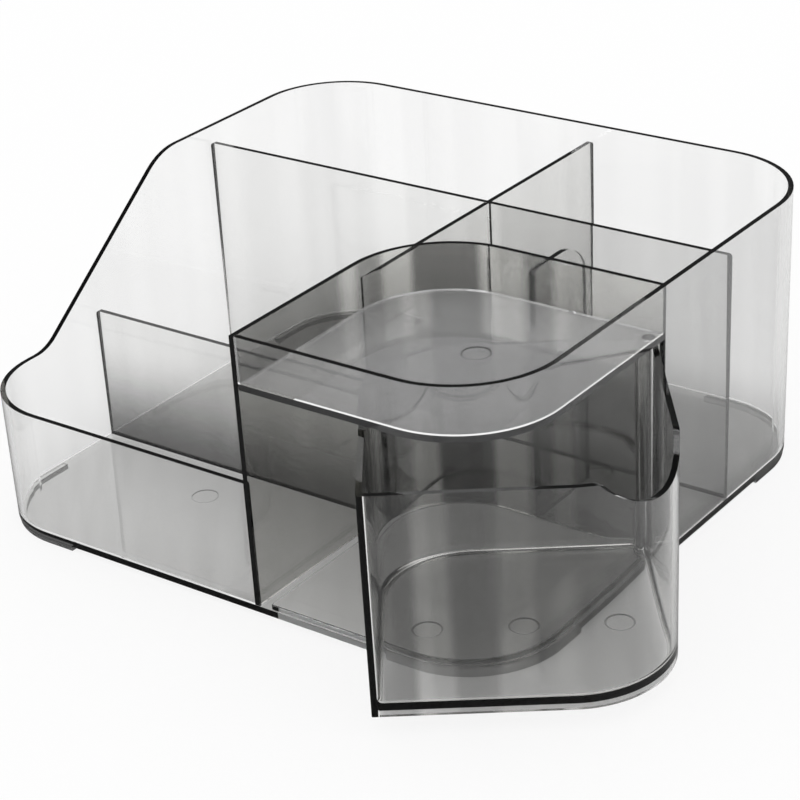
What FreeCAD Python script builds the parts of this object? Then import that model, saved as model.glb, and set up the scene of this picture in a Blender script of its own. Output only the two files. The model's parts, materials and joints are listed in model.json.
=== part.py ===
import FreeCAD
import Part
import Sketcher
import math
import os
from types import SimpleNamespace

from FreeCAD import Placement, Rotation, Vector

# A desk organizer of clear moulded plastic.  Open compartments fill the left and the back, a shallow
# tray covers the front right, and under the tray a drawer swings out about an upright pivot near the
# middle of the right side.
#
# All pieces are drawn in the case's own frame: X to the right along the front, Y to the back, Z up,
# with the table at Z 0 and the origin where the front and left faces would meet at the rim.  The
# placements at the end move everything so that the origin lies under the middle of the whole object
# as it stands, with its drawer open.

SIZES = (
    ("case_width", 240.0, "left to right at the rim"),
    ("case_depth", 226.0, "front to back at the rim"),
    ("case_height", 108.7, "table to rim"),
    ("case_draft", 0.75, "degrees the outer wall leans inwards towards the base"),
    ("wall", 2.0, "thickness of every wall and divider"),
    ("glue_gap", 0.1, "joint between bonded panels"),
    ("platform_round", 0.5, "rounding along the edge of the raised floor"),
    ("rear_right_radius", 40.0, "outer corner at the rim"),
    ("rear_left_radius", 34.0, "outer corner at the rim"),
    ("front_left_radius", 36.0, "outer corner at the rim"),
    ("front_right_radius", 38.0, "outer corner of the tray at the rim"),
    ("low_height", 52.9, "top of the low wall at the front left"),
    ("slope_start", 45.9, "Y where the left wall begins to rise"),
    ("slope_end", 120.8, "Y where it reaches the rim"),
    ("slope_start_radius", 18.0, "blend at the foot of the slope"),
    ("slope_end_radius", 28.0, "blend at the head of the slope"),
    ("foot_height", 2.1, "ribs that the case stands on"),
    ("foot_width", 2.5, "rib width"),
    ("foot_margin", 0.4, "from the plate's edge to the rib"),
    ("foot_straight", 12.0, "straight stretch of a rib past its corner"),
    ("plate_thickness", 2.5, "bottom plate"),
    ("platform_height", 1.9, "raised floor of the drawer bay above the plate"),
    ("platform_groove", 4.1, "groove between the bay wall and the raised floor"),
    ("platform_margin", 2.0, "raised floor inside the plate's edge at the right"),
    ("platform_lip", 0.6, "raised floor inside the plate's edge at the front"),
    ("bay_wall_x", 136.4, "middle of the wall left of the drawer bay"),
    ("bay_wall_y", 104.9, "middle of the wall behind the drawer bay"),
    ("bay_corner_radius", 36.8, "bend of the bay wall, at the middle of the wall"),
    ("divider_height", 102.3, "top of the high dividers above the table"),
    ("divider_corner", 1.5, "rounded upper corners of the dividers"),
    ("cross_divider_y", 151.0, "middle of the cross divider"),
    ("low_divider_y", 74.7, "middle of the low divider"),
    ("low_divider_height", 58.5, "top of the low divider above the table"),
    ("slot_divider_x", 185.2, "middle of the slot divider"),
    ("slot_divider_length", 34.1, "slot divider from the bay wall to its free end"),
    ("slot_divider_radius", 16.0, "rounded upper corner at its free end"),
    ("tray_level", 91.3, "top of the tray floor above the table"),
    ("tray_thickness", 2.3, "tray floor"),
    ("drawer_side_gap", 1.7, "closed drawer to the bay wall's side"),
    ("drawer_back_gap", 1.6, "closed drawer to the wall behind it"),
    ("drawer_front_inset", 0.1, "drawer front behind the case front"),
    ("drawer_right_inset", 0.7, "drawer inside the case at the right, beside the pivot"),
    ("drawer_flare", 1.5, "degrees the drawer's right side turns outwards towards the front"),
    ("drawer_lift", 0.9, "drawer above the raised floor"),
    ("drawer_headroom", 0.9, "drawer below the tray"),
    ("drawer_draft", 0.45, "degrees the drawer's walls lean inwards towards its base"),
    ("drawer_front_radius", 36.1, "front right corner of the drawer"),
    ("drawer_rear_radius", 35.0, "rear left corner of the drawer"),
    ("drawer_edge_radius", 1.2, "front left corner of the drawer"),
    ("drawer_skirt", 1.6, "skirt below the drawer's floor"),
    ("drawer_floor", 2.0, "drawer floor"),
    ("drawer_cove", 2.5, "fillet round the drawer's floor"),
    ("notch_depth", 11.7, "finger notch below the drawer's rim"),
    ("notch_radius", 26.0, "bottom of the finger notch"),
    ("notch_shoulder", 2.0, "shoulders of the finger notch"),
    ("notch_turn", 52.6, "degrees from the drawer's front to the middle of the notch"),
    ("post_radius", 3.9, "pivot post and the drawer corner round it"),
    ("rod_radius", 2.3, "pivot rod"),
    ("rod_clearance", 0.05, "running fit round the rod"),
    ("rod_recess", 0.3, "ends of the rod inside the outer faces"),
    ("rod_chamfer", 0.4, "bevel at the ends of the rod"),
    ("ring_rim", 0.85, "bearing ring round the lower rod hole"),
    ("ring_gap", 0.3, "pivot post above its bearing ring"),
    ("witness_radius", 5.0, "ejector marks in the floors"),
    ("witness_depth", 0.25, "ejector marks in the floors"),
    ("floor_witness_x", 69.3, "mark in the floor at the front left"),
    ("floor_witness_y", 54.1, "mark in the floor at the front left"),
    ("tray_witness_x", 192.8, "mark in the tray floor"),
    ("tray_witness_y", 59.2, "mark in the tray floor"),
    ("drawer_witness_side", 18.7, "first of three marks, from the drawer's left side"),
    ("drawer_witness_step", 32.3, "from one mark to the next"),
    ("drawer_witness_row", 47.0, "the marks from the drawer's front"),
    ("open_angle", 35.3, "degrees the drawer stands open"),
)

SPARE = 5.0  # how far a cutting profile reaches past the solid that it cuts
CLOSE = 0.01  # levels nearer than this count as the same


class Size:
    """A number together with the sheet formula that gives it."""

    def __init__(self, value, formula):
        self.value = value
        self.formula = formula

    def __add__(self, other):
        other = as_size(other)
        return Size(self.value + other.value, f"({self.formula} + {other.formula})")

    def __sub__(self, other):
        other = as_size(other)
        return Size(self.value - other.value, f"({self.formula} - {other.formula})")

    def __mul__(self, other):
        other = as_size(other)
        return Size(self.value * other.value, f"({self.formula} * {other.formula})")

    def __truediv__(self, other):
        other = as_size(other)
        return Size(self.value / other.value, f"({self.formula} / {other.formula})")

    def __neg__(self):
        return Size(-self.value, f"(0 - {self.formula})")


def as_size(number):
    """A plain number as a Size."""
    if isinstance(number, Size):
        return number
    return Size(float(number), f"({float(number)})")


def tangent(angle):
    """Tangent of a size in degrees."""
    return Size(math.tan(math.radians(angle.value)), f"tan({angle.formula} * 1 deg)")


def sine(angle):
    """Sine of a size in degrees."""
    return Size(math.sin(math.radians(angle.value)), f"sin({angle.formula} * 1 deg)")


def cosine(angle):
    """Cosine of a size in degrees."""
    return Size(math.cos(math.radians(angle.value)), f"cos({angle.formula} * 1 deg)")


def root(number):
    """Square root of a size."""
    return Size(math.sqrt(number.value), f"sqrt({number.formula})")


def fill_sheet(doc):
    """Write the sizes to the sheet and hand them back by name."""
    sheet = doc.addObject("Spreadsheet::Sheet", "Sizes")
    for row, (alias, value, note) in enumerate(SIZES, start=1):
        sheet.set(f"A{row}", alias)
        sheet.set(f"B{row}", str(value))
        sheet.setAlias(f"B{row}", alias)
        sheet.set(f"C{row}", note)
    doc.recompute()
    return SimpleNamespace(**{alias: Size(float(value), f"Sizes.{alias}") for alias, value, note in SIZES})


def bind(thing, name, size):
    """Tie a property of a document object to the sheet."""
    thing.setExpression(name, as_size(size).formula)


def new_body(doc, name):
    """A body whose label is also the name of its file."""
    body = doc.addObject("PartDesign::Body", name)
    body.Label = name
    return body


def new_sketch(body, name, plane, level=0.0):
    """An empty sketch on one of the body's origin planes, moved by level along the plane's normal."""
    sketch = body.newObject("Sketcher::SketchObject", name)
    support = next(feature for feature in body.Origin.OriginFeatures if feature.Role == plane)
    sketch.AttachmentSupport = [(support, "")]
    sketch.MapMode = "FlatFace"
    bind(sketch, "AttachmentOffset.Base.z", level)
    return sketch


def hold_point(sketch, geometry, end, x, y):
    """Dimension one point of a sketch from the sketch's origin."""
    for kind, size in (("DistanceX", as_size(x)), ("DistanceY", as_size(y))):
        index = sketch.addConstraint(Sketcher.Constraint(kind, -1, 1, geometry, end, size.value))
        bind(sketch, f"Constraints[{index}]", size)


def draw_loop(sketch, corners):
    """A closed outline of straight sides through corners (x, y, radius); radius None leaves one sharp."""
    spots = [Vector(as_size(x).value, as_size(y).value) for x, y, radius in corners]
    count = len(spots)
    starts = list(spots)
    ends = list(spots)
    arcs = {}
    for i, (x, y, radius) in enumerate(corners):
        if radius is None:
            continue
        back = (spots[i - 1] - spots[i]).normalize()
        ahead = (spots[(i + 1) % count] - spots[i]).normalize()
        half = back.getAngle(ahead) / 2
        reach = as_size(radius).value / math.tan(half)
        ends[i] = spots[i] + back * reach
        starts[i] = spots[i] + ahead * reach
        centre = spots[i] + (back + ahead).normalize() * (as_size(radius).value / math.sin(half))
        left_turn = back.cross(ahead).z < 0
        first, last = (ends[i], starts[i]) if left_turn else (starts[i], ends[i])
        angles = [math.atan2(p.y - centre.y, p.x - centre.x) for p in (first, last)]
        circle = Part.Circle(centre, Vector(0, 0, 1), as_size(radius).value)
        arcs[i] = (Part.ArcOfCircle(circle, *angles), 1 if left_turn else 2)
    lines = []
    for i in range(count):
        lines.append(sketch.addGeometry(Part.LineSegment(starts[i], ends[(i + 1) % count])))
    for i, (x, y, radius) in enumerate(corners):
        before = lines[i - 1]
        after = lines[i]
        if radius is None:
            sketch.addConstraint(Sketcher.Constraint("Coincident", before, 2, after, 1))
            hold_point(sketch, after, 1, x, y)
            continue
        arc, entry = arcs[i]
        bend = sketch.addGeometry(arc)
        sketch.addConstraint(Sketcher.Constraint("Tangent", before, 2, bend, entry))
        sketch.addConstraint(Sketcher.Constraint("Tangent", bend, 3 - entry, after, 1))
        index = sketch.addConstraint(Sketcher.Constraint("Radius", bend, as_size(radius).value))
        bind(sketch, f"Constraints[{index}]", radius)
        corner = sketch.addGeometry(Part.Point(spots[i]), True)
        hold_point(sketch, corner, 1, x, y)
        sketch.addConstraint(Sketcher.Constraint("PointOnObject", corner, 1, before))
        sketch.addConstraint(Sketcher.Constraint("PointOnObject", corner, 1, after))


def draw_circle(sketch, x, y, radius):
    """A circle with its middle dimensioned from the sketch's origin."""
    middle = Vector(as_size(x).value, as_size(y).value)
    circle = sketch.addGeometry(Part.Circle(middle, Vector(0, 0, 1), as_size(radius).value))
    hold_point(sketch, circle, 3, x, y)
    index = sketch.addConstraint(Sketcher.Constraint("Radius", circle, as_size(radius).value))
    bind(sketch, f"Constraints[{index}]", radius)


def feature(body, kind, sketch, length, draft=None, reverse=False):
    """A Pad or Pocket of a sketch, which must add or take away material."""
    before = body.Shape.Volume if body.Tip and not body.Shape.isNull() else 0.0
    made = body.newObject(f"PartDesign::{kind}", f"{sketch.Name}_{kind.lower()}")
    made.Profile = sketch
    made.Reversed = reverse
    bind(made, "Length", length)
    if draft is not None:
        bind(made, "TaperAngle", draft)
    body.Document.recompute()
    change = body.Shape.Volume - before
    if (change <= 0) if kind == "Pad" else (change >= 0):
        raise ValueError(f"{made.Name} changed the volume by {change:.3f}")
    return made


def pad(body, sketch, length, draft=None, reverse=False):
    """Add the sketch's profile, drawn out over a length."""
    return feature(body, "Pad", sketch, length, draft, reverse)


def pocket(body, sketch, length, draft=None, reverse=False):
    """Cut the sketch's profile away over a length."""
    return feature(body, "Pocket", sketch, length, draft, reverse)


def fillet(body, name, radius, chosen):
    """Round the edges of the body's last feature for which chosen(edge) is true."""
    base = body.Tip
    names = [f"Edge{i}" for i, edge in enumerate(base.Shape.Edges, start=1) if chosen(edge)]
    rounding = body.newObject("PartDesign::Fillet", name)
    rounding.Base = (base, names)
    bind(rounding, "Radius", radius)
    body.Document.recompute()
    return rounding


def is_level(edge, level):
    """True for an edge that lies wholly at one height."""
    box = edge.BoundBox
    return abs(box.ZMin - level.value) < CLOSE and abs(box.ZMax - level.value) < CLOSE


def case_inset(s, level):
    """How far the drafted case wall stands inside the rim's outline at a height above the table."""
    return tangent(s.case_draft) * (s.case_height - level)


def plate_top(s):
    """Upper face of the bottom plate."""
    return s.foot_height + s.plate_thickness


def panel_foot(s):
    """Lower edge of every panel that stands on the plate."""
    return plate_top(s) + s.glue_gap


def case_corners(s, inset):
    """Corners of the case outline, moved inwards by inset."""
    left = inset
    right = s.case_width - inset
    front = inset
    back = s.case_depth - inset
    return (
        (left, front, s.front_left_radius - inset),
        (right, front, s.front_right_radius - inset),
        (right, back, s.rear_right_radius - inset),
        (left, back, s.rear_left_radius - inset),
    )


def drawer_levels(s):
    """Lowest and highest Z of the drawer."""
    low = plate_top(s) + s.platform_height + s.drawer_lift
    high = s.tray_level - s.tray_thickness - s.drawer_headroom
    return low, high


def drawer_sides(s):
    """Left, right, front and back faces of the closed drawer at its rim."""
    left = s.bay_wall_x + s.wall / 2 + s.drawer_side_gap
    right = s.case_width - s.drawer_right_inset
    front = s.drawer_front_inset
    back = s.bay_wall_y - s.wall / 2 - s.drawer_back_gap
    return left, right, front, back


def drawer_corners(s, inset, pivot_radius):
    """Corners of the closed drawer's rim outline, moved inwards by inset."""
    left, right, front, back = drawer_sides(s)
    flare = tangent(s.drawer_flare)
    side = right - inset / cosine(s.drawer_flare)
    return (
        (left + inset, front + inset, s.drawer_edge_radius),
        (side + flare * (back - front - inset), front + inset, s.drawer_front_radius - inset),
        (side + flare * inset, back - inset, pivot_radius),
        (left + inset, back - inset, s.drawer_rear_radius - inset),
    )


def front_bend(s):
    """Middle of the bend at the closed drawer's front right corner."""
    _, right, front, back = drawer_sides(s)
    along = front + s.drawer_front_radius
    side = right + tangent(s.drawer_flare) * (back - along)
    return side - s.drawer_front_radius / cosine(s.drawer_flare), along


def pivot(s):
    """Where the pivot axis stands."""
    _, right, _, back = drawer_sides(s)
    return right - s.post_radius, back - s.post_radius


def build_base_plate(doc, s):
    """Bottom plate with the drawer bay's raised floor, the lower rod hole in its ring, and the feet."""
    body = new_body(doc, "base_plate")
    inset = case_inset(s, plate_top(s))
    plate = new_sketch(body, "plate_outline", "XY_Plane", plate_top(s))
    draw_loop(plate, case_corners(s, inset))
    pad(body, plate, s.plate_thickness, -s.case_draft, reverse=True)

    groove_left = s.bay_wall_x + s.wall / 2
    left = groove_left + s.platform_groove
    right = s.case_width - inset - s.platform_margin
    front = inset + s.platform_lip
    back = s.bay_wall_y - s.wall / 2 - s.platform_margin
    platform = new_sketch(body, "platform_outline", "XY_Plane", plate_top(s))
    draw_loop(platform, (
        (left, front, s.divider_corner),
        (right, front, s.front_right_radius - inset - s.platform_margin),
        (right, back, s.divider_corner),
        (left, back, s.bay_corner_radius - s.wall / 2 - s.platform_groove),
    ))
    pad(body, platform, s.platform_height)
    platform_top = plate_top(s) + s.platform_height
    fillet(body, "platform_edge", s.platform_round, lambda edge: is_level(edge, platform_top))

    pivot_x, pivot_y = pivot(s)
    ring = new_sketch(body, "bearing_ring", "XY_Plane", plate_top(s))
    draw_circle(ring, pivot_x, pivot_y, s.rod_radius + s.rod_clearance + s.ring_rim)
    pad(body, ring, s.platform_height + s.drawer_lift - s.ring_gap)
    hole = new_sketch(body, "rod_hole", "XY_Plane", platform_top + s.drawer_lift)
    draw_circle(hole, pivot_x, pivot_y, s.rod_radius + s.rod_clearance)
    pocket(body, hole, platform_top + s.drawer_lift)

    build_feet(body, s)
    mark_witness(body, s, "floor_witness", ((s.floor_witness_x, s.floor_witness_y),), plate_top(s))
    return body


def build_feet(body, s):
    """Four curved ribs under the corners of the plate."""
    inset = case_inset(s, s.foot_height) + s.foot_margin
    corners = case_corners(s, inset)
    turns = ((1, 1), (-1, 1), (-1, -1), (1, -1))
    for number, ((x, y, radius), (across, along)) in enumerate(zip(corners, turns), start=1):
        reach = radius + s.foot_straight
        end_x = x + reach * across
        end_y = y + reach * along
        inner_x = x + s.foot_width * across
        inner_y = y + s.foot_width * along
        outline = (
            (x, y, radius),
            (end_x, y, None),
            (end_x, inner_y, None),
            (inner_x, inner_y, radius - s.foot_width),
            (inner_x, end_y, None),
            (x, end_y, None),
        )
        rib = new_sketch(body, f"foot_outline_{number}", "XY_Plane")
        draw_loop(rib, outline)
        pad(body, rib, s.foot_height)


def mark_witness(body, s, name, spots, level):
    """Round ejector marks, sunk slightly into a floor."""
    marks = new_sketch(body, name, "XY_Plane", level)
    for x, y in spots:
        draw_circle(marks, x, y, s.witness_radius)
    pocket(body, marks, s.witness_depth)


def build_outer_wall(doc, s):
    """Drafted shell with the drawer bay cut out of it, a seat for the bay wall and a sloping left side."""
    body = new_body(doc, "outer_wall")
    wall_height = s.case_height - panel_foot(s)
    outside = new_sketch(body, "outer_outline", "XY_Plane", s.case_height)
    draw_loop(outside, case_corners(s, as_size(0)))
    pad(body, outside, wall_height, -s.case_draft, reverse=True)
    inside = new_sketch(body, "inner_outline", "XY_Plane", s.case_height)
    draw_loop(inside, case_corners(s, s.wall))
    pocket(body, inside, wall_height, -s.case_draft)

    right = s.case_width + SPARE
    front = as_size(-SPARE)
    bay_left = s.bay_wall_x - s.wall / 2 - s.glue_gap
    tray_left = s.bay_wall_x + s.wall / 2 + s.glue_gap
    bay = new_sketch(body, "bay_opening", "XY_Plane", s.tray_level + s.glue_gap)
    draw_box(bay, bay_left, right, front, s.bay_wall_y - s.wall / 2)
    pocket(body, bay, s.tray_level)
    seat = new_sketch(body, "bay_wall_seat", "XY_Plane", s.case_height)
    draw_box(seat, bay_left, tray_left, front, s.wall + SPARE)
    pocket(body, seat, s.case_height)

    slope = new_sketch(body, "side_slope", "YZ_Plane", -SPARE)
    top = s.case_height + SPARE
    draw_loop(slope, (
        (front, s.low_height, None),
        (s.slope_start, s.low_height, s.slope_start_radius),
        (s.slope_end, s.case_height, s.slope_end_radius),
        (s.cross_divider_y, s.case_height, None),
        (s.cross_divider_y, top, None),
        (front, top, None),
    ))
    pocket(body, slope, bay_left + SPARE, reverse=True)
    return body


def draw_box(sketch, left, right, front, back):
    """A rectangle between four lines."""
    draw_loop(sketch, ((left, front, None), (right, front, None), (right, back, None), (left, back, None)))


def build_bay_wall(doc, s):
    """Wall round the left and the back of the drawer bay, bent between the two."""
    body = new_body(doc, "bay_wall")
    half = s.wall / 2
    left = s.bay_wall_x - half
    back = s.bay_wall_y + half
    plan = new_sketch(body, "bay_outline", "XY_Plane", panel_foot(s))
    draw_loop(plan, (
        (left, as_size(0), None),
        (left + s.wall, as_size(0), None),
        (left + s.wall, back - s.wall, s.bay_corner_radius - half),
        (s.case_width, back - s.wall, None),
        (s.case_width, back, None),
        (left, back, s.bay_corner_radius + half),
    ))
    pad(body, plan, s.case_height - panel_foot(s))
    trim = new_sketch(body, "front_lean", "YZ_Plane")
    draw_lean(trim, s, as_size(0), 1)
    pocket(body, trim, s.case_width, reverse=True)
    side = new_sketch(body, "side_lean", "XZ_Plane")
    draw_lean(side, s, s.case_width - s.wall - s.glue_gap, -1)
    pocket(body, side, s.case_depth)
    return body


def draw_lean(sketch, s, rim, inwards):
    """A profile that cuts a panel's end to the drafted wall: everything outside the leaning face."""
    outside = rim - as_size(SPARE * inwards)
    top = s.case_height + SPARE
    draw_loop(sketch, (
        (outside, as_size(0), None),
        (rim + case_inset(s, as_size(0)) * inwards, as_size(0), None),
        (rim + case_inset(s, top) * inwards, top, None),
        (outside, top, None),
    ))


def build_cross_divider(doc, s):
    """Full-width divider, slotted from below where the middle divider crosses it."""
    body = new_body(doc, "cross_divider")
    foot = panel_foot(s)
    margin = s.wall + s.glue_gap
    low = margin + case_inset(s, foot)
    high = margin + case_inset(s, s.divider_height)
    face = new_sketch(body, "cross_outline", "XZ_Plane", -(s.cross_divider_y + s.wall / 2))
    draw_loop(face, (
        (low, foot, None),
        (s.case_width - low, foot, None),
        (s.case_width - high, s.divider_height, s.divider_corner),
        (high, s.divider_height, s.divider_corner),
    ))
    pad(body, face, s.wall)
    slot = new_sketch(body, "cross_slot", "XZ_Plane", -(s.cross_divider_y + s.wall))
    half = s.wall / 2 + s.glue_gap
    draw_box(slot, s.bay_wall_x - half, s.bay_wall_x + half, as_size(0), lap_level(s) + s.glue_gap / 2)
    pocket(body, slot, s.wall * 2, reverse=True)
    return body


def lap_level(s):
    """Height at which the two crossing dividers meet."""
    return (panel_foot(s) + s.divider_height) / 2


def build_middle_divider(doc, s):
    """Front-to-back divider from the bend of the bay wall, slotted from above for the cross divider."""
    body = new_body(doc, "middle_divider")
    foot = panel_foot(s)
    margin = s.wall + s.glue_gap
    start = s.bay_wall_y - s.bay_corner_radius
    face = new_sketch(body, "middle_outline", "YZ_Plane", s.bay_wall_x - s.wall / 2)
    draw_loop(face, (
        (start, foot, None),
        (s.case_depth - margin - case_inset(s, foot), foot, None),
        (s.case_depth - margin - case_inset(s, s.divider_height), s.divider_height, s.divider_corner),
        (start, s.divider_height, None),
    ))
    pad(body, face, s.wall)
    bend = new_sketch(body, "bend_clearance", "XY_Plane", s.case_height)
    reach = s.bay_corner_radius + s.wall / 2 + s.glue_gap
    draw_circle(bend, s.bay_wall_x + s.bay_corner_radius, start, reach)
    pocket(body, bend, s.case_height)
    slot = new_sketch(body, "middle_slot", "YZ_Plane", s.bay_wall_x - s.wall)
    half = s.wall / 2 + s.glue_gap
    low = lap_level(s) - s.glue_gap / 2
    draw_box(slot, s.cross_divider_y - half, s.cross_divider_y + half, low, s.case_height)
    pocket(body, slot, s.wall * 2, reverse=True)
    return body


def build_low_divider(doc, s):
    """Low divider between the front left and the middle left compartments."""
    body = new_body(doc, "low_divider")
    foot = panel_foot(s)
    margin = s.wall + s.glue_gap
    right = s.bay_wall_x - s.wall / 2 - s.glue_gap
    face = new_sketch(body, "low_outline", "XZ_Plane", -(s.low_divider_y + s.wall / 2))
    draw_loop(face, (
        (margin + case_inset(s, foot), foot, None),
        (right, foot, None),
        (right, s.low_divider_height, s.divider_corner),
        (margin + case_inset(s, s.low_divider_height), s.low_divider_height, s.divider_corner),
    ))
    pad(body, face, s.wall)
    return body


def build_slot_divider(doc, s):
    """Divider that stands out from the bay wall and ends free, with a rounded upper corner."""
    body = new_body(doc, "slot_divider")
    start = s.bay_wall_y + s.wall / 2 + s.glue_gap
    end = start + s.slot_divider_length
    face = new_sketch(body, "slot_outline", "YZ_Plane", s.slot_divider_x - s.wall / 2)
    draw_loop(face, (
        (start, panel_foot(s), None),
        (end, panel_foot(s), None),
        (end, s.divider_height, s.slot_divider_radius),
        (start, s.divider_height, s.divider_corner),
    ))
    pad(body, face, s.wall)
    return body


def build_tray_floor(doc, s):
    """Floor of the tray, which is also the roof of the drawer bay and holds the rod's upper end."""
    body = new_body(doc, "tray_floor")
    inset = case_inset(s, s.tray_level)
    half = s.wall / 2 + s.glue_gap
    left = s.bay_wall_x + half
    back = s.bay_wall_y - half
    right = s.case_width - inset
    plan = new_sketch(body, "tray_outline", "XY_Plane", s.tray_level)
    draw_loop(plan, (
        (left, inset, None),
        (right, inset, s.front_right_radius - inset),
        (right, back, None),
        (left, back, s.bay_corner_radius - half),
    ))
    pad(body, plan, s.tray_thickness, reverse=True)
    hole = new_sketch(body, "rod_hole", "XY_Plane", s.tray_level)
    pivot_x, pivot_y = pivot(s)
    draw_circle(hole, pivot_x, pivot_y, s.rod_radius + s.rod_clearance)
    pocket(body, hole, s.tray_thickness)
    mark_witness(body, s, "tray_witness", ((s.tray_witness_x, s.tray_witness_y),), s.tray_level)
    return body


def build_drawer(doc, s):
    """Drawer shell in its closed place: drafted walls, a rounded front corner with a finger notch, a
    skirt below the floor, and a post at the back right corner whose bend is centred on the pivot."""
    body = new_body(doc, "drawer")
    low, high = drawer_levels(s)
    outside = new_sketch(body, "drawer_outline", "XY_Plane", high)
    draw_loop(outside, drawer_corners(s, as_size(0), s.post_radius))
    pad(body, outside, high - low, -s.drawer_draft, reverse=True)

    floor_level = low + s.drawer_skirt + s.drawer_floor
    inside = new_sketch(body, "drawer_cavity", "XY_Plane", high)
    draw_loop(inside, drawer_corners(s, s.wall, s.drawer_edge_radius))
    pocket(body, inside, high - floor_level, -s.drawer_draft)
    fillet(body, "drawer_cove", s.drawer_cove, lambda edge: is_level(edge, floor_level))

    lean = tangent(s.drawer_draft) * (high - low)
    skirt = new_sketch(body, "skirt_recess", "XY_Plane", low)
    draw_loop(skirt, drawer_corners(s, s.wall + lean, s.drawer_edge_radius))
    pocket(body, skirt, s.drawer_skirt, reverse=True)

    cut_notch(body, s, high)
    pivot_x, pivot_y = pivot(s)
    post = new_sketch(body, "post_outline", "XY_Plane", high)
    draw_circle(post, pivot_x, pivot_y, s.post_radius)
    pad(body, post, high - low, -s.drawer_draft, reverse=True)
    bore = new_sketch(body, "post_bore", "XY_Plane", high)
    draw_circle(bore, pivot_x, pivot_y, s.rod_radius + s.rod_clearance)
    pocket(body, bore, high - low)
    left, _, front, _ = drawer_sides(s)
    first = left + s.drawer_witness_side
    row = front + s.drawer_witness_row
    spots = [(first + s.drawer_witness_step * place_in_row, row) for place_in_row in range(3)]
    mark_witness(body, s, "drawer_witness", spots, floor_level)
    return body


def cut_notch(body, s, rim):
    """Finger notch over the rounded front corner: a hanging arc with shoulders that meet the rim level."""
    across, along = front_bend(s)
    notch = new_sketch(body, "notch_profile", "XZ_Plane", -along)
    bind(notch, "AttachmentOffset.Base.x", across)
    turned = Rotation(Vector(0, 1, 0), s.notch_turn.value)
    notch.AttachmentOffset = Placement(notch.AttachmentOffset.Base, turned)
    bind(notch, "AttachmentOffset.Rotation.Angle", s.notch_turn)
    total = s.notch_radius + s.notch_shoulder
    drop = total - s.notch_depth
    reach = root(total * total - drop * drop)
    draw_notch(notch, s, rim, reach)
    pocket(body, notch, s.drawer_front_radius + SPARE, reverse=True)


def draw_notch(sketch, s, rim, reach):
    """Arc below, a shoulder at each side and a box above the rim."""
    top = rim.value + SPARE
    bottom_middle = Vector(0, (rim - s.notch_depth + s.notch_radius).value)
    share = s.notch_radius.value / (s.notch_radius + s.notch_shoulder).value
    joints = []
    for side in (-1, 1):
        shoulder = Vector(side * reach.value, (rim - s.notch_shoulder).value)
        joints.append((shoulder, bottom_middle + (shoulder - bottom_middle) * share))
    (left_middle, left_joint), (right_middle, right_joint) = joints
    up = Vector(0, 0, 1)

    def turn(point, middle):
        """Direction of a point from the middle of its arc, in radians."""
        return math.atan2(point.y - middle.y, point.x - middle.x)

    bottom = sketch.addGeometry(Part.ArcOfCircle(
        Part.Circle(bottom_middle, up, s.notch_radius.value),
        turn(left_joint, bottom_middle), turn(right_joint, bottom_middle)))
    left_shoulder = sketch.addGeometry(Part.ArcOfCircle(
        Part.Circle(left_middle, up, s.notch_shoulder.value), turn(left_joint, left_middle), math.pi / 2))
    right_shoulder = sketch.addGeometry(Part.ArcOfCircle(
        Part.Circle(right_middle, up, s.notch_shoulder.value), math.pi / 2, turn(right_joint, right_middle)))
    corners = [Vector(-reach.value, rim.value), Vector(-reach.value, top), Vector(reach.value, top),
               Vector(reach.value, rim.value)]
    sides = [sketch.addGeometry(Part.LineSegment(a, b)) for a, b in zip(corners, corners[1:])]
    join = Sketcher.Constraint
    for constraint in (
        join("Tangent", bottom, 1, left_shoulder, 1),
        join("Tangent", bottom, 2, right_shoulder, 2),
        join("Coincident", sides[0], 2, sides[1], 1),
        join("Coincident", sides[1], 2, sides[2], 1),
        join("Perpendicular", left_shoulder, 2, sides[0], 1),
        join("Perpendicular", right_shoulder, 1, sides[2], 2),
        join("Vertical", sides[0]),
        join("Horizontal", sides[1]),
        join("Vertical", sides[2]),
        join("Symmetric", sides[0], 1, sides[2], 2, -2),
    ):
        sketch.addConstraint(constraint)
    for geometry, radius in ((bottom, s.notch_radius), (left_shoulder, s.notch_shoulder),
                             (right_shoulder, s.notch_shoulder)):
        index = sketch.addConstraint(join("Radius", geometry, radius.value))
        bind(sketch, f"Constraints[{index}]", radius)
    for geometry, end, level in ((sides[0], 1, rim), (sides[1], 1, rim + SPARE),
                                 (bottom, 3, rim - s.notch_depth + s.notch_radius)):
        index = sketch.addConstraint(join("DistanceY", -1, 1, geometry, end, level.value))
        bind(sketch, f"Constraints[{index}]", level)


def build_pivot_rod(doc, s):
    """The upright rod that the drawer swings on, from the base to the tray floor."""
    body = new_body(doc, "pivot_rod")
    pivot_x, pivot_y = pivot(s)
    low = s.foot_height + s.rod_recess
    plan = new_sketch(body, "rod_outline", "XY_Plane", low)
    draw_circle(plan, pivot_x, pivot_y, s.rod_radius)
    shank = pad(body, plan, s.tray_level - s.rod_recess - low)
    bevel = body.newObject("PartDesign::Chamfer", "rod_bevel")
    rims = [f"Edge{i}" for i, edge in enumerate(shank.Shape.Edges, start=1) if len(edge.Vertexes) == 1]
    bevel.Base = (shank, rims)
    bind(bevel, "Size", s.rod_chamfer)
    doc.recompute()
    return body


def place(body, s, opened):
    """Stand a body under the middle of the opened object; what swings is first turned about the pivot."""
    pivot_x, pivot_y = pivot(s)
    middle_x, middle_y = standing_middle(s)
    if opened:
        turned_x, turned_y = swing(s, pivot_x, pivot_y, as_size(0), as_size(0))
        bind(body, "Placement.Base.x", turned_x - middle_x)
        bind(body, "Placement.Base.y", turned_y - middle_y)
        body.Placement.Rotation = Rotation(Vector(0, 0, 1), s.open_angle.value)
        bind(body, "Placement.Rotation.Angle", s.open_angle)
    else:
        bind(body, "Placement.Base.x", -middle_x)
        bind(body, "Placement.Base.y", -middle_y)


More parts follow.
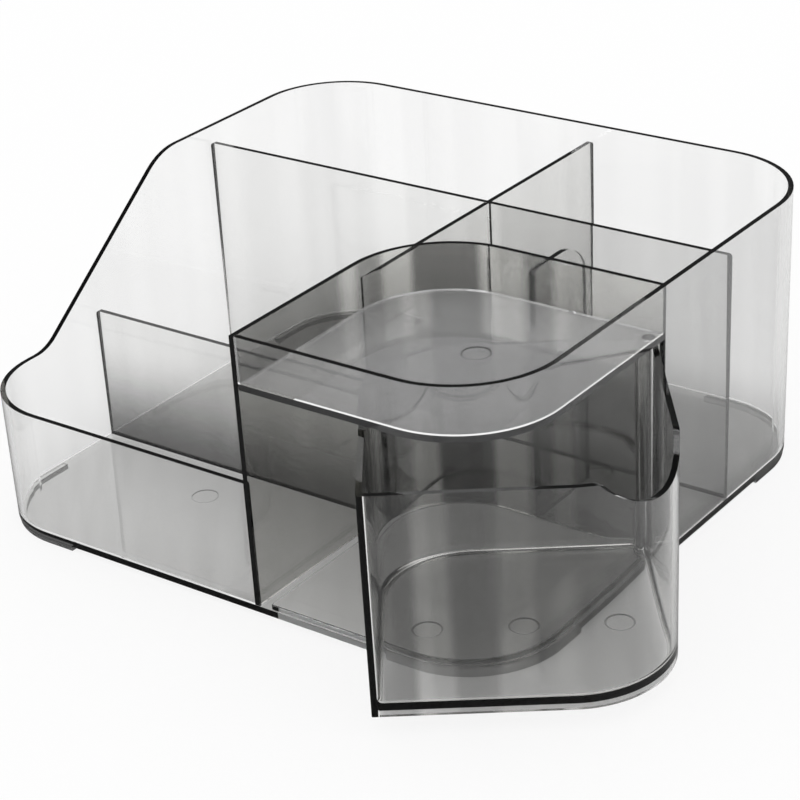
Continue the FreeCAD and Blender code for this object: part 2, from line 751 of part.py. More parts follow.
def swing(s, pivot_x, pivot_y, x, y):
    """Where a point of the closed drawer stands once the drawer is open."""
    across = x - pivot_x
    along = y - pivot_y
    turned_x = pivot_x + across * cosine(s.open_angle) - along * sine(s.open_angle)
    turned_y = pivot_y + across * sine(s.open_angle) + along * cosine(s.open_angle)
    return turned_x, turned_y


def standing_middle(s):
    """Middle of the object's footprint with the drawer open, between the case and the drawer's corners."""
    left, _, front, _ = drawer_sides(s)
    pivot_x, pivot_y = pivot(s)
    round_x, round_y = swing(s, pivot_x, pivot_y, *front_bend(s))
    _, edge_y = swing(s, pivot_x, pivot_y, left + s.drawer_edge_radius, front + s.drawer_edge_radius)
    lowest = min(edge_y - s.drawer_edge_radius, round_y - s.drawer_front_radius, key=lambda size: size.value)
    return (round_x + s.drawer_front_radius) / 2, (lowest + s.case_depth) / 2


def main():
    """Build every body, stand it in place and write its file."""
    doc = FreeCAD.newDocument("desk_organizer")
    s = fill_sheet(doc)
    fixed = [build(doc, s) for build in (
        build_base_plate, build_outer_wall, build_bay_wall, build_cross_divider, build_middle_divider,
        build_low_divider, build_slot_divider, build_tray_floor, build_pivot_rod)]
    drawer = build_drawer(doc, s)
    for body in fixed:
        place(body, s, False)
    place(drawer, s, True)
    doc.recompute()
    failed = [thing.Name for thing in doc.Objects if {"Invalid", "Error"} & set(thing.State)]
    if failed:
        raise ValueError(f"failed: {failed}")
    for body in fixed + [drawer]:
        if body.Shape.isNull() or not body.Shape.isValid():
            raise ValueError(f"{body.Label} has no valid shape")
    os.makedirs("parts", exist_ok=True)
    for body in fixed + [drawer]:
        body.Shape.exportStep(f"parts/{body.Label}.step")


main()
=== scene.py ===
"""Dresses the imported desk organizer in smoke-tinted clear plastic and sets up its studio."""

import json
import logging
import math
from dataclasses import dataclass, replace
from enum import Enum

import bpy
from mathutils import Matrix, Vector


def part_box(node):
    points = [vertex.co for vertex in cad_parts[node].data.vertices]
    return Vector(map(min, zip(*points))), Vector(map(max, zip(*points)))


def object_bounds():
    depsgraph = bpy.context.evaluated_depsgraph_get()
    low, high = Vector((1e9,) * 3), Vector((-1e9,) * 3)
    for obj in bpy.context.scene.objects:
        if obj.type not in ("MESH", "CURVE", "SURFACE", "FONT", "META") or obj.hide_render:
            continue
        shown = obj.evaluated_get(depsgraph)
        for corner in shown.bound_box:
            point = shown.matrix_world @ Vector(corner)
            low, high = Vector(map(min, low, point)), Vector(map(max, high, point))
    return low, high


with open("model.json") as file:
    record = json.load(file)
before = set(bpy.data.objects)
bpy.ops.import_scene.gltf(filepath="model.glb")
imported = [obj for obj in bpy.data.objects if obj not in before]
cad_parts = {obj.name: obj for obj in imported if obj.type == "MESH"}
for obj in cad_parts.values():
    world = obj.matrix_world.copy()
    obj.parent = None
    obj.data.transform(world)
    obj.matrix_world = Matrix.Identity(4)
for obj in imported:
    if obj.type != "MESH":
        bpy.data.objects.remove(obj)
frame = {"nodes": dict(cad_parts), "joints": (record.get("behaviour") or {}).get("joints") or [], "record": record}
CAD_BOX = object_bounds()

log = logging.getLogger("desk_organizer")

Sockets = dict[str, bpy.types.NodeSocket]

WHITE = (1.0, 1.0, 1.0, 1.0)
SMOKE = (0.06, 0.055, 0.0)
WARM_SMOKE = (0.1, 0.09, 0.0)
COOL_SMOKE = (0.0, 0.0, 0.06)

# Metres: a place past every part of the object, and the height at which the bay wall meets the tray.
BEYOND = 1.0
TRAY_LEVEL = 0.0895
# The way from the front left to the back right, along which upright bands follow each other.
ACROSS = (0.8, 0.6, 0.0)
# A face is level where its normal points this much up or down, and faces the front past this share.
LEVEL_FACE = 0.5
FRONT_FACE = -0.7
# The values of the painted streaks' noise at which a streak starts and is at its darkest.
STREAK_START = 0.38
STREAK_FULL = 0.62


class Ray(Enum):
    """The ray kinds that a backdrop shows its own colour to."""

    CAMERA = "Is Camera Ray"
    GLOSSY = "Is Glossy Ray"
    TRANSMITTED = "Is Transmission Ray"


class Nodes:
    """A node tree with short calls to add nodes and to work out numbers with them."""

    def __init__(self, tree: bpy.types.NodeTree) -> None:
        """Take over a tree and empty it.

        Args:
            tree: the tree of a material, a world or a group.
        """
        self.tree = tree
        tree.nodes.clear()

    def put(self, value: object, target: bpy.types.NodeSocket) -> None:
        """Link a socket to a target, or set the target to a number, a colour or a vector.

        Args:
            value: a socket or a plain value.
            target: the input that takes it.
        """
        if isinstance(value, bpy.types.NodeSocket):
            self.tree.links.new(value, target)
        else:
            target.default_value = value

    def add(self, kind: str, **values: object) -> bpy.types.Node:
        """Add a node.

        Args:
            kind: the node's type name.
            values: its inputs, where a name matches one with spaces for underscores, and its properties.

        Returns:
            The new node.
        """
        node = self.tree.nodes.new(kind)
        for name, value in values.items():
            label = name.replace("_", " ")
            if label in node.inputs:
                self.put(value, node.inputs[label])
            else:
                setattr(node, name, value)
        return node

    def pair(self, kind: str, operation: str, first: object, second: object) -> bpy.types.Node:
        """Add a node that does one operation on two values.

        Args:
            kind: the node's type name.
            operation: the name of the operation.
            first: a socket or a plain value.
            second: a socket or a plain value.

        Returns:
            The new node.
        """
        node = self.add(kind, operation=operation)
        self.put(first, node.inputs[0])
        self.put(second, node.inputs[1])
        return node

    def math(self, operation: str, first: object, second: object = 0.0) -> bpy.types.NodeSocket:
        """Work out one number from one or two."""
        return self.pair("ShaderNodeMath", operation, first, second).outputs[0]

    def dot(self, first: object, second: object) -> bpy.types.NodeSocket:
        """Work out how far one vector reaches along another."""
        return self.pair("ShaderNodeVectorMath", "DOT_PRODUCT", first, second).outputs["Value"]

    def product(self, *factors: object) -> bpy.types.NodeSocket:
        """Multiply numbers.

        Args:
            factors: sockets or numbers.

        Returns:
            The result's socket.
        """
        total = factors[0]
        for factor in factors[1:]:
            total = self.math("MULTIPLY", total, factor)
        return total

    def rest(self, share: object) -> bpy.types.NodeSocket:
        """Work out what a share leaves of 1."""
        return self.math("SUBTRACT", 1.0, share)

    def where(self, mask: object, shade: object) -> bpy.types.NodeSocket:
        """Work out a number that is the shade where a mask is 1, and 1 where the mask is 0."""
        return self.rest(self.math("MULTIPLY", mask, self.rest(shade)))

    def ramp(self, value: object, start: object, stop: object, first: object = 0.0,
             last: object = 1.0) -> bpy.types.NodeSocket:
        """Work out a smooth change of a number.

        Args:
            value: the socket that decides.
            start: where the change starts.
            stop: where it stops.
            first: the result before start.
            last: the result after stop.

        Returns:
            The result's socket.
        """
        node = self.add("ShaderNodeMapRange", interpolation_type="SMOOTHSTEP", Value=value, From_Min=start,
                        From_Max=stop, To_Min=first, To_Max=last)
        return node.outputs["Result"]

    def place(self) -> bpy.types.NodeSocket:
        """Give the place on the object, in metres."""
        return self.add("ShaderNodeTexCoord").outputs["Object"]

    def split(self, vector: bpy.types.NodeSocket) -> list[bpy.types.NodeSocket]:
        """Give a vector's x, y and z."""
        return list(self.add("ShaderNodeSeparateXYZ", Vector=vector).outputs)


def make_group(name: str, inputs: dict[str, object],
               outputs: tuple[str, ...]) -> tuple[Nodes, Sockets, Sockets]:
    """Start a shader node group.

    Args:
        name: the group's name.
        inputs: each input's name with its usual value, a number or a vector.
        outputs: each output's name; all are numbers.

    Returns:
        The group's nodes, the sockets of its inputs by name and the sockets of its outputs by name.
    """
    group = bpy.data.node_groups.new(name, "ShaderNodeTree")
    for label, value in inputs.items():
        kind = "NodeSocketFloat" if isinstance(value, float) else "NodeSocketVector"
        group.interface.new_socket(label, in_out="INPUT", socket_type=kind).default_value = value
    for label in outputs:
        group.interface.new_socket(label, in_out="OUTPUT", socket_type="NodeSocketFloat")
    nodes = Nodes(group)
    given = nodes.add("NodeGroupInput").outputs
    result = nodes.add("NodeGroupOutput").inputs
    return nodes, {label: given[label] for label in inputs}, {label: result[label] for label in outputs}


def polish_group() -> bpy.types.NodeTree:
    """Build the group for moulded, polished plastic: fine gloss changes and a slow waviness.

    Returns:
        A group with inputs Gloss, Spread and Ripple, and outputs Roughness and Height.
    """
    nodes, given, result = make_group(
        "moulded_polish", {"Gloss": 0.0, "Spread": 0.02, "Ripple": 0.2}, ("Roughness", "Height"))
    place = nodes.place()
    smudges = nodes.add("ShaderNodeTexNoise", Vector=place, Scale=38.0, Detail=3.0, Roughness=0.6)
    waves = nodes.add("ShaderNodeTexNoise", Vector=place, Scale=9.0, Detail=1.0, Roughness=0.4)
    spread = nodes.product(smudges.outputs["Fac"], given["Spread"])
    nodes.put(nodes.math("ADD", given["Gloss"], spread), result["Roughness"])
    nodes.put(nodes.product(waves.outputs["Fac"], given["Ripple"]), result["Height"])
    return nodes.tree


def shade_group() -> bpy.types.NodeTree:
    """Build the group for the shade in a piece's colour, as a share of clear, most of it painted shade.

    It fades from Foot Shade at Foot to 1 at Foot plus Fade, a painted shade darker towards the foot. It is Seam
    Shade within Seam of the foot and of both ends along Axis, for dark bonded joints. From Side it changes over
    Side Width to Side Shade, a painted shade darker on the right side. Level faces have Level Shade and upright
    ones Edge Shade, a painted shade on edges, but not past Cut From, where they are cut. Painted streaks across
    the object, which stand in for reflections, take away up to Bands of it.

    Returns:
        A group with outputs Shade, Cut Edge, which is 1 on cut faces, and Lit Edge, 1 on those to the front, where
        a coat puts a painted highlight.
    """
    nodes, given, result = make_group("panel_shade", {
        "Foot": 0.0, "Fade": 0.05, "Foot Shade": 1.0,
        "Axis": (1.0, 0.0, 0.0), "Low End": -BEYOND, "High End": BEYOND, "Seam": 0.001, "Seam Shade": 0.01,
        "Side": BEYOND, "Side Width": 0.001, "Side Shade": 1.0,
        "Level Shade": 1.0, "Edge Shade": 1.0, "Cut From": BEYOND,
        "Across": ACROSS, "Bands": 0.1, "Band Scale": 60.0,
    }, ("Shade", "Cut Edge", "Lit Edge"))
    place = nodes.place()
    x, _, z = nodes.split(place)
    height = nodes.math("SUBTRACT", z, given["Foot"])
    foot = nodes.ramp(height, 0.0, given["Fade"], given["Foot Shade"], 1.0)

    along = nodes.dot(place, given["Axis"])
    from_end = nodes.math("MINIMUM", nodes.math("SUBTRACT", along, given["Low End"]),
                          nodes.math("SUBTRACT", given["High End"], along))
    bonded = nodes.math("LESS_THAN", nodes.math("MINIMUM", from_end, height), given["Seam"])
    seams = nodes.where(bonded, given["Seam Shade"])
    past_side = nodes.math("SUBTRACT", x, given["Side"])
    side = nodes.ramp(past_side, 0.0, given["Side Width"], 1.0, given["Side Shade"])

    facing = nodes.add("ShaderNodeNewGeometry").outputs["True Normal"]
    _, facing_y, facing_z = nodes.split(facing)
    level = nodes.math("GREATER_THAN", nodes.math("ABSOLUTE", facing_z), LEVEL_FACE)
    upright = nodes.rest(level)
    cut = nodes.product(upright, nodes.math("GREATER_THAN", x, given["Cut From"]))
    nodes.put(cut, result["Cut Edge"])
    nodes.put(nodes.product(cut, nodes.math("LESS_THAN", facing_y, FRONT_FACE)), result["Lit Edge"])
    faces = nodes.product(nodes.where(level, given["Level Shade"]),
                          nodes.where(nodes.math("SUBTRACT", upright, cut), given["Edge Shade"]))

    across = nodes.product(nodes.dot(place, given["Across"]), given["Band Scale"])
    drag = nodes.add("ShaderNodeTexNoise", noise_dimensions="1D", W=across, Scale=1.0, Detail=1.5,
                     Roughness=0.55)
    streak = nodes.ramp(drag.outputs["Fac"], STREAK_START, STREAK_FULL)
    bands = nodes.rest(nodes.product(streak, given["Bands"]))
    nodes.put(nodes.product(foot, seams, side, faces, bands), result["Shade"])
    return nodes.tree


def ring_group() -> bpy.types.NodeTree:
    """Build the group for the outline of a round ejector mark in a floor.

    The shade is Ring Shade on a ring of Radius round Centre, Line to either side of it and Reach above and
    below it, and 1 elsewhere.

    Returns:
        A group with output Shade.
    """
    nodes, given, result = make_group("ejector_ring", {
        "Centre": (0.0, 0.0, 0.0), "Radius": 0.005, "Line": 0.0004, "Reach": 0.001, "Ring Shade": 0.3,
    }, ("Shade",))
    away = nodes.pair("ShaderNodeVectorMath", "SUBTRACT", nodes.place(), given["Centre"]).outputs["Vector"]
    x, y, z = nodes.split(away)
    radius = nodes.math("SQRT", nodes.math("ADD", nodes.product(x, x), nodes.product(y, y)))
    off_line = nodes.math("ABSOLUTE", nodes.math("SUBTRACT", radius, given["Radius"]))
    on_ring = nodes.math("LESS_THAN", off_line, given["Line"])
    on_floor = nodes.math("LESS_THAN", nodes.math("ABSOLUTE", z), given["Reach"])
    nodes.put(nodes.where(nodes.product(on_ring, on_floor), given["Ring Shade"]), result["Shade"])
    return nodes.tree


def band_group() -> bpy.types.NodeTree:
    """Build the group for a painted dark upright band of shade in a wall.

    The shade is Band Shade between Start and Stop along Across, from Low to High, and 1 beyond, with upright
    edges of width Soft.

    Returns:
        A group with output Shade.
    """
    nodes, given, result = make_group("painted_shade_band", {
        "Across": ACROSS, "Start": 0.0, "Stop": 0.01, "Soft": 0.004, "Low": 0.0, "High": BEYOND,
        "Band Shade": 0.7,
    }, ("Shade",))
    place = nodes.place()
    _, _, z = nodes.split(place)
    across = nodes.dot(place, given["Across"])
    inside = nodes.math("MINIMUM", nodes.math("SUBTRACT", across, given["Start"]),
                        nodes.math("SUBTRACT", given["Stop"], across))
    dark = nodes.ramp(nodes.math("DIVIDE", inside, given["Soft"]), -0.5, 0.5)
    under = nodes.math("LESS_THAN", z, given["High"])
    over = nodes.math("GREATER_THAN", z, given["Low"])
    nodes.put(nodes.where(nodes.product(dark, under, over), given["Band Shade"]), result["Shade"])
    return nodes.tree


@dataclass(frozen=True)
class Finish:
    """The groups that every plastic is finished with."""

    polish: bpy.types.NodeTree
    shade: bpy.types.NodeTree
    ring: bpy.types.NodeTree
    band: bpy.types.NodeTree


class Ends(Enum):
    """The direction in which a panel runs from one bonded end to the other."""

    NONE = (0.0, 0.0, 0.0)
    X = (1.0, 0.0, 0.0)
    Y = (0.0, 1.0, 0.0)


@dataclass(frozen=True)
class Foot:
    """Painted shade, darker at the foot: its shade, how far up it fades, and its height, which is the piece's own
    where None.
    """

    shade: float = 1.0
    fade: float = 0.05
    height: float | None = None


@dataclass(frozen=True)
class Seam:
    """Dark lines where a panel is bonded, along its foot and up both ends."""

    ends: Ends = Ends.NONE
    width: float = 0.001
    shade: float = 0.01


UNBONDED = Seam(width=-BEYOND)


@dataclass(frozen=True)
class Side:
    """Painted shade, darker on the right side: where it starts, over what width it changes, and its shade."""

    start: float = BEYOND
    width: float = 0.001
    shade: float = 1.0


@dataclass(frozen=True)
class Faces:
    """The shade of level faces, painted shade on upright ones, and where upright ones are cut: rough, and with a
    painted highlight from a coat on those to the front.
    """

    level: float = 1.0
    upright: float = 1.0
    cut_from: float = BEYOND
    cut_roughness: float = 0.0
    lit: bool = False


@dataclass(frozen=True)
class PaintedStreaks:
    """Faint painted upright streaks that stand in for reflections: how dark they are, and how many there are to a
    metre.
    """

    depth: float = 0.0
    scale: float = 60.0


@dataclass(frozen=True)
class Band:
    """A painted dark upright band of shade in a wall, from start to stop across the object and from low to high,
    in metres.
    """

    start: float
    stop: float
    shade: float
    low: float = 0.0
    high: float = BEYOND


@dataclass(frozen=True)
class Marks:
    """The outlines of ejector marks: the middle of each, and their shade."""

    centres: tuple[tuple[float, float, float], ...] = ()
    shade: float = 0.6


@dataclass(frozen=True)
class ClearPlastic:
    """A smoke-tinted clear plastic: how deep light gets in it, how clear it is, and the painted shade, seams and
    marks in its colour.
    """

    density: float
    tint: tuple[float, float, float] = SMOKE
    clear: float = 1.0
    foot: Foot = Foot()
    seam: Seam = UNBONDED
    side: Side = Side()
    faces: Faces = Faces()
    drag: PaintedStreaks = PaintedStreaks()
    flow: tuple[Band, ...] = ()
    marks: Marks = Marks()
    gloss: float = 0.0
    spread: float = 0.02
    ripple: float = 0.2
    ripple_strength: float = 0.05
    ripple_depth: float = 0.001
    refraction: float = 1.49
    # The coat's index and roughness for the painted highlight on lit edges.
    edge_refraction: float = 4.0
    edge_roughness: float = 0.6

    def make(self, name: str, finish: Finish) -> bpy.types.Material:
        """Build the material for a piece.

        Args:
            name: the piece that it is for.
            finish: the shared groups.

        Returns:
            The new material.
        """
        material = bpy.data.materials.new(f"smoke_{name}")
        material.use_nodes = True
        nodes = Nodes(material.node_tree)
        polish = nodes.add("ShaderNodeGroup", node_tree=finish.polish, label="moulded polish",
                           Gloss=self.gloss, Spread=self.spread, Ripple=self.ripple)
        bump = nodes.add("ShaderNodeBump", Strength=self.ripple_strength, Distance=self.ripple_depth,
                         Height=polish.outputs["Height"])
        # The base colour carries painted shade from the panel group and the bands, along with the dark seams and
        # ejector marks.
        panel = self.panel(name, nodes, finish)
        rough = nodes.product(panel.outputs["Cut Edge"], self.faces.cut_roughness)
        plastic = nodes.add(
            "ShaderNodeBsdfPrincipled", IOR=self.refraction, Metallic=0.0, Transmission_Weight=self.clear,
            Base_Color=self.shade(panel.outputs["Shade"], nodes, finish),
            Roughness=nodes.math("ADD", polish.outputs["Roughness"], rough), Normal=bump.outputs["Normal"],
            Coat_Roughness=self.edge_roughness, Coat_IOR=self.edge_refraction)
        # Painted highlight: a strong coat with a high index on the front cut edges only, so that they catch the
        # soft box.
        if self.faces.lit:
            nodes.put(panel.outputs["Lit Edge"], plastic.inputs["Coat Weight"])
        depth = nodes.add("ShaderNodeVolumeAbsorption", Color=(*self.tint, 1.0), Density=self.density)
        nodes.add("ShaderNodeOutputMaterial", Surface=plastic.outputs["BSDF"], Volume=depth.outputs["Volume"])
        return material

    def panel(self, name: str, nodes: Nodes, finish: Finish) -> bpy.types.Node:
        """Place the group for the painted shade and dark seams in the piece's colour.

        Args:
            name: the piece.
            nodes: the material's tree.
            finish: the shared groups.

        Returns:
            The group's node.
        """
        low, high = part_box(name)
        axis = Vector(self.seam.ends.value)
        bonded = self.seam.ends is not Ends.NONE
        return nodes.add(
            "ShaderNodeGroup", node_tree=finish.shade, label="panel shade",
            Foot=low.z if self.foot.height is None else self.foot.height, Fade=self.foot.fade,
            Foot_Shade=self.foot.shade, Axis=axis, Low_End=axis.dot(low) if bonded else -BEYOND,
            High_End=axis.dot(high) if bonded else BEYOND, Seam=self.seam.width, Seam_Shade=self.seam.shade,
            Side=self.side.start, Side_Width=self.side.width, Side_Shade=self.side.shade,
            Level_Shade=self.faces.level, Edge_Shade=self.faces.upright, Cut_From=self.faces.cut_from,
            Bands=self.drag.depth, Band_Scale=self.drag.scale)

    def shade(self, shade: bpy.types.NodeSocket, nodes: Nodes, finish: Finish) -> bpy.types.NodeSocket:
        """Add the painted shade bands and the ejector marks to the shade in the piece's colour.

        Args:
            shade: the socket of the panel group's shade.
            nodes: the material's tree.
            finish: the shared groups.

        Returns:
            The socket that carries the whole shade, for all three colours.
        """
        for band in self.flow:
            dark = nodes.add("ShaderNodeGroup", node_tree=finish.band, label="painted shade band", Start=band.start,
                             Stop=band.stop, Low=band.low, High=band.high, Band_Shade=band.shade)
            shade = nodes.product(shade, dark.outputs["Shade"])
        for centre in self.marks.centres:
            mark = nodes.add("ShaderNodeGroup", node_tree=finish.ring, label="ejector mark", Centre=centre,
                             Ring_Shade=self.marks.shade)
            shade = nodes.product(shade, mark.outputs["Shade"])
        return shade


@dataclass
class Camera:
    """The camera, by its place and the way it looks, in metres and degrees."""

    place: tuple[float, float, float] = (0.47471, -0.63599, 0.44189)
    azimuth: float = 37.23
    elevation: float = 26.53
    roll: float = 3.26
    lens: float = 108.96
    sensor: float = 36.0

    def build(self) -> None:
        """Make the camera and give it to the scene."""
        data = bpy.data.cameras.new("camera")
        data.lens = self.lens
        data.sensor_width = self.sensor
        camera = bpy.data.objects.new("camera", data)
        turn = math.radians(self.azimuth)
        tilt = math.radians(self.elevation)
        ahead = Vector((-math.sin(turn) * math.cos(tilt), math.cos(turn) * math.cos(tilt), -math.sin(tilt)))
        upright = ahead.to_track_quat("-Z", "Y").to_matrix().to_4x4()
        rolled = upright @ Matrix.Rotation(math.radians(-self.roll), 4, "Z")
        camera.matrix_world = Matrix.Translation(self.place) @ rolled
        bpy.context.scene.collection.objects.link(camera)
        bpy.context.scene.camera = camera
        log.info("the camera is in place")


@dataclass(frozen=True)
class SoftBox:
    """A round soft light in the sky that only shows in reflections, by where it is and how wide, in degrees.

    It has its full strength up to inner from its middle and fades out by outer.
    """

    azimuth: float
    elevation: float
    inner: float
    outer: float
    strength: float

    def aim(self) -> Vector:
        """Give the direction of the light's middle.

        Returns:
            A vector of length 1.
        """
        turn = math.radians(self.azimuth)
        lift = math.radians(self.elevation)
        return Vector((math.cos(turn) * math.cos(lift), math.sin(turn) * math.cos(lift), math.sin(lift)))

    def light(self, direction: bpy.types.NodeSocket, nodes: Nodes) -> bpy.types.NodeSocket:
        """Work out how bright the light is in a direction.

        Args:
            direction: the socket that carries the direction.
            nodes: the world's tree.

        Returns:
            The socket that carries its brightness.
        """
        edge = nodes.ramp(nodes.dot(direction, self.aim()), math.cos(math.radians(self.outer)),
                          math.cos(math.radians(self.inner)))
        return nodes.product(edge, self.strength)


@dataclass
class Studio:
    """A white room: a pale floor and an even sky, which look dim, with soft boxes, in reflections.

    The glow fields are the share of the floor that shows as plain white: to the camera, and through plastic
    near the front left and far from it. The other lengths are in metres.
    """

    floor_size: float = 6.0
    floor_white: float = 0.97
    glow: float = 0.85
    glow_near: float = 0.6
    glow_far: float = 0.05
    glow_start: float = -0.15
    glow_stop: float = 0.08
    beside: float = 0.04
    sky: float = 1.0
    sky_dim: float = 0.12
    floor_dim: float = 0.25
    dim_start: float = -0.05
    dim_stop: float = 0.3
    boxes: tuple[SoftBox, ...] = (
        SoftBox(azimuth=220.0, elevation=46.0, inner=8.0, outer=14.0, strength=4.0),
        SoftBox(azimuth=243.0, elevation=8.0, inner=12.0, outer=24.0, strength=8.0),
    )

    def build(self) -> None:
        """Make the sky and the floor."""
        self.build_sky()
        self.build_floor()
        log.info("the studio has a sky, a floor and %d soft boxes", len(self.boxes))

    def build_sky(self) -> None:
        """Make an even white world that looks dim, with soft boxes, in reflections."""
        world = bpy.data.worlds.new("studio_sky")
        bpy.context.scene.world = world
        world.use_nodes = True
        nodes = Nodes(world.node_tree)
        sky = nodes.add("ShaderNodeBackground", Color=WHITE, Strength=self.sky)
        room = nodes.add("ShaderNodeBackground", Color=WHITE, Strength=self.room_light(nodes))
        shown = self.mix(self.mirrored(nodes), sky, room, nodes)
        nodes.add("ShaderNodeOutputWorld", Surface=shown.outputs[0])

    def build_floor(self) -> None:
        """Make the floor that the object stands on."""
        half = self.floor_size / 2
        corners = [(-half, -half, 0.0), (half, -half, 0.0), (half, half, 0.0), (-half, half, 0.0)]
        mesh = bpy.data.meshes.new("floor")
        mesh.from_pydata(corners, [], [(0, 1, 2, 3)])
        floor = bpy.data.objects.new("floor", mesh)
        bpy.context.scene.collection.objects.link(floor)
        material = bpy.data.materials.new("pale_floor")
        material.use_nodes = True
        nodes = Nodes(material.node_tree)
        lit = nodes.add("ShaderNodeBsdfDiffuse", Color=(self.floor_white,) * 3 + (1.0,))
        glow = nodes.add("ShaderNodeEmission", Color=WHITE, Strength=1.0)
        dark = nodes.add("ShaderNodeEmission", Color=WHITE, Strength=0.0)
        shown = self.mix(self.glow_share(nodes), lit, glow, nodes)
        hidden = nodes.product(self.mirrored(nodes), self.dark_share(nodes))
        shown = self.mix(hidden, shown, dark, nodes)
        nodes.add("ShaderNodeOutputMaterial", Surface=shown.outputs[0])
        floor.data.materials.append(material)

    @staticmethod
    def mix(share: bpy.types.NodeSocket, first: bpy.types.Node, second: bpy.types.Node,
            nodes: Nodes) -> bpy.types.Node:
        """Mix two shaders.

        Args:
            share: the socket that carries the second one's share.
            first: the node of the first shader.
            second: the node of the second shader.
            nodes: the tree to work in.

        Returns:
            The new node.
        """
        node = nodes.add("ShaderNodeMixShader")
        for value, target in zip((share, first.outputs[0], second.outputs[0]), node.inputs):
            nodes.put(value, target)
        return node

    @staticmethod
    def mirrored(nodes: Nodes) -> bpy.types.NodeSocket:
        """Tell rays that come straight off a shiny face from all the others.

        Args:
            nodes: the tree to work in.

        Returns:
            A socket that is 1 for such rays.
        """
        path = nodes.add("ShaderNodeLightPath")
        not_through = nodes.rest(path.outputs[Ray.TRANSMITTED.value])
        return nodes.product(path.outputs[Ray.GLOSSY.value], not_through)

    def room_light(self, nodes: Nodes) -> bpy.types.NodeSocket:
        """Work out how bright the room looks in a reflection, by its direction.

        Args:
            nodes: the world's tree.

        Returns:
            The socket that carries the strength.
        """
        direction = nodes.add("ShaderNodeTexCoord").outputs["Generated"]
        total: object = self.sky_dim
        for box in self.boxes:
            total = nodes.math("ADD", total, box.light(direction, nodes))
        return total

    def dark_share(self, nodes: Nodes) -> bpy.types.NodeSocket:
        """Work out how much of the floor is dark in a reflection, the most of it at the front left.

        Args:
            nodes: the floor's tree.

        Returns:
            The socket that carries the share.
        """
        along = nodes.dot(nodes.place(), ACROSS)
        return nodes.ramp(along, self.dim_start, self.dim_stop, 1.0 - self.floor_dim, 0.0)

    def glow_share(self, nodes: Nodes) -> bpy.types.NodeSocket:
        """Work out how much of the floor shows as plain white, by the kind of ray that looks at it.

        Rays through plastic see the floor beside the object as the camera does, and the floor under it in
        its shade, from glow_near at the front left to glow_far at the back right.

        Args:
            nodes: the floor's tree.

        Returns:
            The socket that carries the share.
        """
        path = nodes.add("ShaderNodeLightPath")
        place = nodes.place()
        x, y, _ = nodes.split(place)
        (left, _, _), (_, back, _) = CAD_BOX
        away = nodes.math("MAXIMUM", nodes.math("SUBTRACT", left, x), nodes.math("SUBTRACT", y, back))
        outside = nodes.ramp(away, 0.0, self.beside)
        along = nodes.dot(place, ACROSS)
        under = nodes.ramp(along, self.glow_start, self.glow_stop, self.glow_near, self.glow_far)
        more = nodes.product(nodes.math("SUBTRACT", self.glow, under), outside)
        through = nodes.product(path.outputs[Ray.TRANSMITTED.value], nodes.math("ADD", under, more))
        seen = nodes.product(path.outputs[Ray.CAMERA.value], self.glow)
        return nodes.math("MAXIMUM", seen, through)


@dataclass
class ClearParts:
    """A sub-assembly of clear mouldings, with a field for each piece's plastic, named as the piece is."""

    body: str

    def plastic(self, name: str) -> ClearPlastic:
        """Give a piece's plastic."""
        return getattr(self, name)

    def dress(self, finish: Finish) -> None:
        """Give every piece its plastic.

        Args:
            finish: the shared groups.
        """
        for name in frame["record"]["behaviour"]["bodies"][self.body]:
            piece = frame["nodes"][name]
            material = self.plastic(name).make(name, finish)
            piece.data.materials.clear()
            piece.data.materials.append(material)
            log.info("%s is dressed in %s", name, material.name)


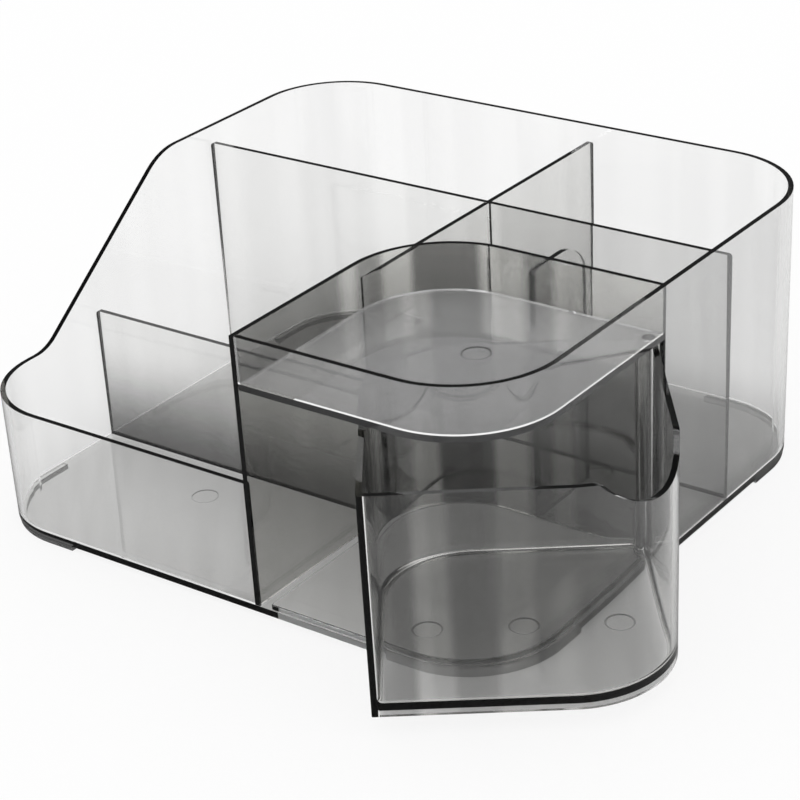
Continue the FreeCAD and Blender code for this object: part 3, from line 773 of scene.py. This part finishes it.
@dataclass
class Case(ClearParts):
    """The case: its walls and dividers, the tray's floor, the base, and the rod that carries the drawer."""

    body: str = "case"
    # Painted shade: the side shade darkens the right wall.
    outer_wall: ClearPlastic = ClearPlastic(
        density=20.0, foot=Foot(0.96), side=Side(0.0955, shade=0.82), drag=PaintedStreaks(0.03))
    # Painted shade: the bands darken the bay wall in upright stripes below and above the tray.
    bay_wall: ClearPlastic = ClearPlastic(
        density=150.0, tint=WARM_SMOKE, foot=Foot(0.85, fade=0.024, height=TRAY_LEVEL), flow=(
            Band(-0.0700, -0.0190, 0.88, high=TRAY_LEVEL),
            Band(-0.0190, -0.0045, 0.46, high=TRAY_LEVEL),
            Band(0.0062, 0.0272, 0.17, high=TRAY_LEVEL),
            Band(0.0390, 0.0475, 0.38, high=TRAY_LEVEL),
            Band(0.0548, 0.0800, 0.33, high=TRAY_LEVEL),
            Band(-0.0200, -0.0110, 0.48, low=TRAY_LEVEL),
            Band(-0.0700, -0.0255, 0.45, low=TRAY_LEVEL),
            Band(-0.0365, -0.0060, 0.65, low=0.077, high=TRAY_LEVEL),
            Band(0.0000, 0.0240, 0.34, low=TRAY_LEVEL),
            Band(0.0392, 0.0490, 0.48, low=TRAY_LEVEL),
        ))
    # Painted shade: a band darkens the cross divider's right part.
    cross_divider: ClearPlastic = ClearPlastic(
        density=40.0, foot=Foot(0.9, fade=0.1), seam=Seam(Ends.X), drag=PaintedStreaks(0.04),
        flow=(Band(0.0339, 0.2, 0.83),))
    middle_divider: ClearPlastic = ClearPlastic(
        density=110.0, foot=Foot(0.7, fade=0.1), seam=Seam(Ends.Y), drag=PaintedStreaks(0.04))
    low_divider: ClearPlastic = ClearPlastic(
        density=50.0, foot=Foot(0.22, fade=0.045), seam=Seam(Ends.X), drag=PaintedStreaks(0.04))
    slot_divider: ClearPlastic = ClearPlastic(density=60.0, foot=Foot(0.9, fade=0.1), seam=Seam(Ends.Y))
    # Painted shade: the tray floor's upright edges are darker.
    tray_floor: ClearPlastic = ClearPlastic(
        density=30.0, tint=COOL_SMOKE, clear=0.85, faces=Faces(upright=0.1),
        marks=Marks(((0.0515, -0.0353, 0.0913),)))
    # Painted shade: the base's right side and its upright faces are darker; the coat on its front cut edges is a
    # painted highlight.
    base_plate: ClearPlastic = ClearPlastic(
        density=30.0, tint=WARM_SMOKE, side=Side(0.085, 0.012, 0.62), drag=PaintedStreaks(0.04),
        faces=Faces(level=0.84, upright=0.15, cut_from=0.004, cut_roughness=0.8, lit=True),
        marks=Marks(((-0.0720, -0.0404, 0.0046),), shade=0.8))
    pivot_rod: ClearPlastic = ClearPlastic(density=80.0, drag=PaintedStreaks(0.1, scale=400.0))


@dataclass
class Drawer(ClearParts):
    """The swing-out drawer, with a row of ejector marks, given in metres from the closed drawer's pivot."""

    body: str = "swing_drawer"
    # Painted shade: two bands darken the drawer in upright stripes.
    drawer: ClearPlastic = ClearPlastic(
        density=25.0, tint=WARM_SMOKE, drag=PaintedStreaks(0.04),
        flow=(Band(-0.0174, -0.0054, 0.75), Band(0.0072, 0.0208, 0.85)))
    first_mark: tuple[float, float] = (-0.0776, -0.0513)
    mark_step: float = 0.0323
    mark_level: float = 0.0110
    mark_count: int = 3
    mark_shade: float = 0.4

    def plastic(self, name: str) -> ClearPlastic:
        """Give the drawer's plastic with its marks, turned from its closed place to its place at rest.

        Args:
            name: the drawer's name.

        Returns:
            The plastic.
        """
        joint = frame["joints"][0]
        pivot = Vector(joint["pos_m"])
        turn = Matrix.Rotation(-math.radians(joint["range_deg"][0]), 3, "Z")
        x, y = self.first_mark
        spots = [Vector((x + number * self.mark_step, y, 0.0)) for number in range(self.mark_count)]
        places = [pivot + turn @ spot for spot in spots]
        centres = tuple((place.x, place.y, self.mark_level) for place in places)
        return replace(super().plastic(name), marks=Marks(centres, self.mark_shade))


def main() -> None:
    """Build everything in order."""
    logging.basicConfig(level=logging.INFO)
    bpy.context.scene.view_settings.view_transform = "Standard"
    Camera().build()
    Studio().build()
    finish = Finish(polish_group(), shade_group(), ring_group(), band_group())
    for parts in (Case(), Drawer()):
        parts.dress(finish)


if __name__ == "__main__":
    main()
